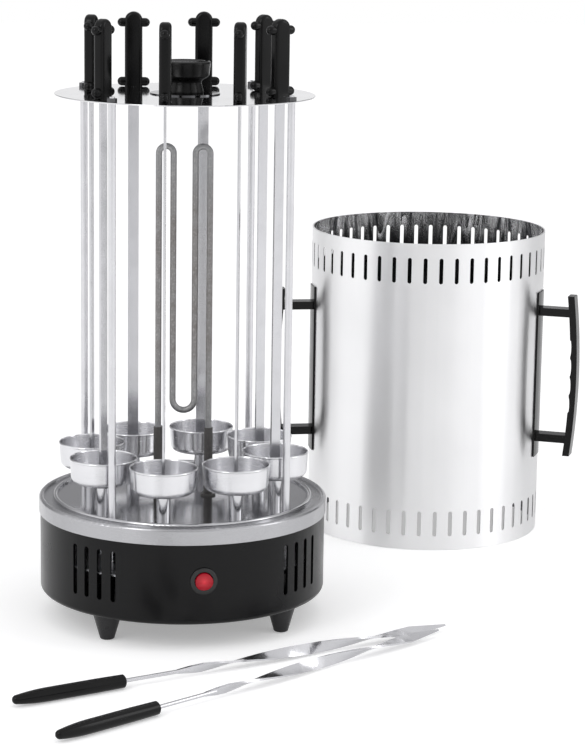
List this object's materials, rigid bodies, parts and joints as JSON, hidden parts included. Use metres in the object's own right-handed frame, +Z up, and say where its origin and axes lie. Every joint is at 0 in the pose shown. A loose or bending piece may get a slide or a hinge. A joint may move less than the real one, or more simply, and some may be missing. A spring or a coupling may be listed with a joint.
{
  "type": "electric skewer grill",
  "caption": "Upright electric skewer grill: round base, central heater, turning skewers over drip cups, a top disc, a loose slotted cover with handles and spare twisted skewers.",
  "frame": {"origin": "middle of the whole set's footprint, on the surface it stands on", "axes": "+Z up, the switch faces -Y, the loose cover stands on the +X side"},
  "size_m": [0.5662, 0.6843, 0.4974],
  "materials": {
    "black_enamel": "high-gloss black enamel on pressed steel",
    "satin_steel": "satin stainless steel",
    "mirror_steel": "mirror-polished stainless steel",
    "polished_steel": "polished stainless steel",
    "black_plastic": "gloss black thermoset plastic",
    "foot_plastic": "moulded dark plastic",
    "handle_plastic": "satin black heat-proof plastic",
    "switch_black": "moulded black plastic",
    "red_rocker": "translucent red plastic",
    "dark_ceramic": "dark glazed insulator",
    "heater_tube": "oxidised steel tube",
    "dark_nuts": "blackened steel",
    "zinc_screws": "zinc-plated steel",
    "cast_plate": "die-cast aluminium",
    "turned_aluminium": "turned and polished aluminium",
    "motor_steel": "plated steel can",
    "gear_plastic": "natural nylon"
  },
  "bodies": {
    "base": {"base_housing": "black_enamel", "base_rim": "satin_steel", "deck_plate": "mirror_steel", "bottom_cover": "black_plastic", "feet": "foot_plastic", "foot_screws": "zinc_screws", "gear_plate": "cast_plate", "plate_spacers": "zinc_screws", "chassis_screws": "zinc_screws", "motor": "motor_steel", "heater_element": "heater_tube", "heater_insulators": "dark_ceramic", "support_posts": "polished_steel", "post_nuts": "dark_nuts", "top_disc": "mirror_steel", "top_knob": "black_plastic", "knob_washer": "polished_steel", "switch_body": "switch_black", "cord_gland": "switch_black"},
    "rocker": {"switch_rocker": "red_rocker"},
    "drive": {"drive_gear": "gear_plastic"},
    "pinion": {"motor_pinion": "zinc_screws"},
    "spindle_body_1": {"spindle_1": "turned_aluminium"},
    "cup_body_1": {"drip_cup_1": "polished_steel"},
    "skewer_body_1": {"skewer_blade_1": "polished_steel", "skewer_handle_1": "handle_plastic"},
    "spindle_body_2": {"spindle_2": "turned_aluminium"},
    "cup_body_2": {"drip_cup_2": "polished_steel"},
    "skewer_body_2": {"skewer_blade_2": "polished_steel", "skewer_handle_2": "handle_plastic"},
    "spindle_body_3": {"spindle_3": "turned_aluminium"},
    "cup_body_3": {"drip_cup_3": "polished_steel"},
    "skewer_body_3": {"skewer_blade_3": "polished_steel", "skewer_handle_3": "handle_plastic"},
    "spindle_body_4": {"spindle_4": "turned_aluminium"},
    "cup_body_4": {"drip_cup_4": "polished_steel"},
    "skewer_body_4": {"skewer_blade_4": "polished_steel", "skewer_handle_4": "handle_plastic"},
    "spindle_body_5": {"spindle_5": "turned_aluminium"},
    "cup_body_5": {"drip_cup_5": "polished_steel"},
    "skewer_body_5": {"skewer_blade_5": "polished_steel", "skewer_handle_5": "handle_plastic"},
    "spindle_body_6": {"spindle_6": "turned_aluminium"},
    "cup_body_6": {"drip_cup_6": "polished_steel"},
    "skewer_body_6": {"skewer_blade_6": "polished_steel", "skewer_handle_6": "handle_plastic"},
    "spindle_body_7": {"spindle_7": "turned_aluminium"},
    "cup_body_7": {"drip_cup_7": "polished_steel"},
    "skewer_body_7": {"skewer_blade_7": "polished_steel", "skewer_handle_7": "handle_plastic"},
    "spindle_body_8": {"spindle_8": "turned_aluminium"},
    "cup_body_8": {"drip_cup_8": "polished_steel"},
    "skewer_body_8": {"skewer_blade_8": "polished_steel", "skewer_handle_8": "handle_plastic"},
    "cover": {"cover_shell": "polished_steel", "cover_handles": "handle_plastic"},
    "loose_skewer_a": {"loose_skewer_a_blade": "polished_steel", "loose_skewer_a_handle": "handle_plastic"},
    "loose_skewer_b": {"loose_skewer_b_blade": "polished_steel", "loose_skewer_b_handle": "handle_plastic"}
  },
  "joints": [
    {"name": "rocker_tilt", "type": "hinge", "parent": "base", "child": "rocker", "pos_m": [-0.122, -0.14555, 0.059], "axis": [-1, 0, 0], "range_deg": [0, 10]},
    {"name": "drive_spin", "type": "hinge", "parent": "base", "child": "drive", "pos_m": [-0.122, -0.02845, 0.069], "axis": [0, 0, 1], "continuous": true},
    {"name": "pinion_spin", "type": "hinge", "parent": "base", "child": "pinion", "pos_m": [-0.054, -0.029, 0.065], "axis": [0, 0, 1], "continuous": true},
    {"name": "spindle_1_spin", "type": "hinge", "parent": "base", "child": "spindle_body_1", "pos_m": [-0.08873, -0.099, 0.09], "axis": [0, 0, 1], "continuous": true},
    {"name": "cup_1_lift", "type": "slide", "parent": "spindle_body_1", "child": "cup_body_1", "axis": [0, 0, 1], "range_m": [0, 0.02]},
    {"name": "skewer_1_lift", "type": "slide", "parent": "cup_body_1", "child": "skewer_body_1", "axis": [0, 0, 1], "range_m": [0, 0.33]},
    {"name": "spindle_2_spin", "type": "hinge", "parent": "base", "child": "spindle_body_2", "pos_m": [-0.04859, -0.05481, 0.09], "axis": [0, 0, 1], "continuous": true},
    {"name": "cup_2_lift", "type": "slide", "parent": "spindle_body_2", "child": "cup_body_2", "axis": [0, 0, 1], "range_m": [0, 0.02]},
    {"name": "skewer_2_lift", "type": "slide", "parent": "cup_body_2", "child": "skewer_body_2", "axis": [0, 0, 1], "range_m": [0, 0.33]},
    {"name": "spindle_3_spin", "type": "hinge", "parent": "base", "child": "spindle_body_3", "pos_m": [-0.05145, 0.00482, 0.09], "axis": [0, 0, 1], "continuous": true},
    {"name": "cup_3_lift", "type": "slide", "parent": "spindle_body_3", "child": "cup_body_3", "axis": [0, 0, 1], "range_m": [0, 0.02]},
    {"name": "skewer_3_lift", "type": "slide", "parent": "cup_body_3", "child": "skewer_body_3", "axis": [0, 0, 1], "range_m": [0, 0.33]},
    {"name": "spindle_4_spin", "type": "hinge", "parent": "base", "child": "spindle_body_4", "pos_m": [-0.09564, 0.04496, 0.09], "axis": [0, 0, 1], "continuous": true},
    {"name": "cup_4_lift", "type": "slide", "parent": "spindle_body_4", "child": "cup_body_4", "axis": [0, 0, 1], "range_m": [0, 0.02]},
    {"name": "skewer_4_lift", "type": "slide", "parent": "cup_body_4", "child": "skewer_body_4", "axis": [0, 0, 1], "range_m": [0, 0.33]},
    {"name": "spindle_5_spin", "type": "hinge", "parent": "base", "child": "spindle_body_5", "pos_m": [-0.15527, 0.0421, 0.09], "axis": [0, 0, 1], "continuous": true},
    {"name": "cup_5_lift", "type": "slide", "parent": "spindle_body_5", "child": "cup_body_5", "axis": [0, 0, 1], "range_m": [0, 0.02]},
    {"name": "skewer_5_lift", "type": "slide", "parent": "cup_body_5", "child": "skewer_body_5", "axis": [0, 0, 1], "range_m": [0, 0.33]},
    {"name": "spindle_6_spin", "type": "hinge", "parent": "base", "child": "spindle_body_6", "pos_m": [-0.19541, -0.00209, 0.09], "axis": [0, 0, 1], "continuous": true},
    {"name": "cup_6_lift", "type": "slide", "parent": "spindle_body_6", "child": "cup_body_6", "axis": [0, 0, 1], "range_m": [0, 0.02]},
    {"name": "skewer_6_lift", "type": "slide", "parent": "cup_body_6", "child": "skewer_body_6", "axis": [0, 0, 1], "range_m": [0, 0.33]},
    {"name": "spindle_7_spin", "type": "hinge", "parent": "base", "child": "spindle_body_7", "pos_m": [-0.19255, -0.06172, 0.09], "axis": [0, 0, 1], "continuous": true},
    {"name": "cup_7_lift", "type": "slide", "parent": "spindle_body_7", "child": "cup_body_7", "axis": [0, 0, 1], "range_m": [0, 0.02]},
    {"name": "skewer_7_lift", "type": "slide", "parent": "cup_body_7", "child": "skewer_body_7", "axis": [0, 0, 1], "range_m": [0, 0.33]},
    {"name": "spindle_8_spin", "type": "hinge", "parent": "base", "child": "spindle_body_8", "pos_m": [-0.14836, -0.10186, 0.09], "axis": [0, 0, 1], "continuous": true},
    {"name": "cup_8_lift", "type": "slide", "parent": "spindle_body_8", "child": "cup_body_8", "axis": [0, 0, 1], "range_m": [0, 0.02]},
    {"name": "skewer_8_lift", "type": "slide", "parent": "cup_body_8", "child": "skewer_body_8", "axis": [0, 0, 1], "range_m": [0, 0.33]},
    {"name": "cover_lift", "type": "slide", "parent": "base", "child": "cover", "axis": [0, 0, 1], "range_m": [0, 0.5]},
    {"name": "loose_skewer_a_lift", "type": "slide", "parent": "base", "child": "loose_skewer_a", "axis": [0, 0, 1], "range_m": [0, 0.2]},
    {"name": "loose_skewer_b_lift", "type": "slide", "parent": "base", "child": "loose_skewer_b", "axis": [0, 0, 1], "range_m": [0, 0.2]}
  ],
  "couplings": [
    {"joint": "pinion_spin", "follows": "drive_spin", "ratio": -4.6667},
    {"joint": "spindle_1_spin", "follows": "drive_spin", "ratio": -2.5455},
    {"joint": "spindle_2_spin", "follows": "drive_spin", "ratio": -2.5455},
    {"joint": "spindle_3_spin", "follows": "drive_spin", "ratio": -2.5455},
    {"joint": "spindle_4_spin", "follows": "drive_spin", "ratio": -2.5455},
    {"joint": "spindle_5_spin", "follows": "drive_spin", "ratio": -2.5455},
    {"joint": "spindle_6_spin", "follows": "drive_spin", "ratio": -2.5455},
    {"joint": "spindle_7_spin", "follows": "drive_spin", "ratio": -2.5455},
    {"joint": "spindle_8_spin", "follows": "drive_spin", "ratio": -2.5455}
  ]
}
